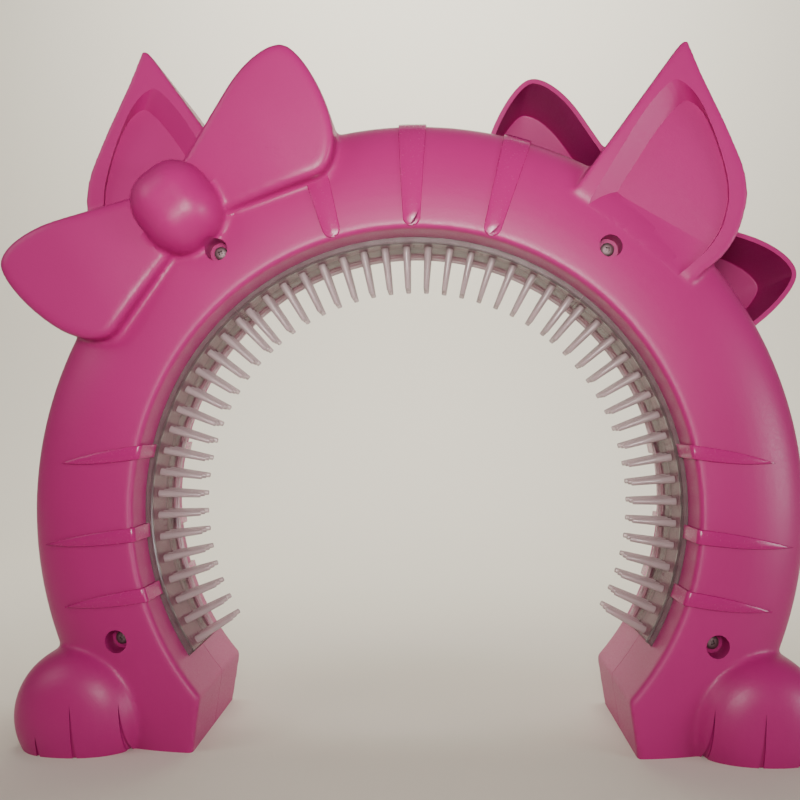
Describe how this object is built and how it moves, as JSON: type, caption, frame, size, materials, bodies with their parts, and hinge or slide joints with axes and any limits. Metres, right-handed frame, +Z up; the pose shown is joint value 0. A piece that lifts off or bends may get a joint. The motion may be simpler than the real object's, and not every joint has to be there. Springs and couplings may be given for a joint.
{
  "type": "cat grooming arch",
  "caption": "Free-standing cat-shaped arch in moulded plastic with ears, bow and paws, lined with comb pins that groom a cat as it walks through.",
  "frame": {"origin": "on the floor under the middle of the arch, on the plane where the two shells meet", "axes": "+X to the right seen from the front, -Y towards the front, +Z up"},
  "size_m": [0.352, 0.114, 0.3006],
  "materials": {
    "pink_plastic": "satin moulded plastic",
    "smoky_plastic": "translucent smoky plastic",
    "steel": "plated steel"
  },
  "bodies": {
    "root": {"front_shell": "pink_plastic", "rear_shell": "pink_plastic", "left_comb": "smoky_plastic", "top_comb": "smoky_plastic", "right_comb": "smoky_plastic", "screw_upper_left": "steel", "screw_upper_right": "steel", "screw_lower_left": "steel", "screw_lower_right": "steel"}
  },
  "joints": []
}
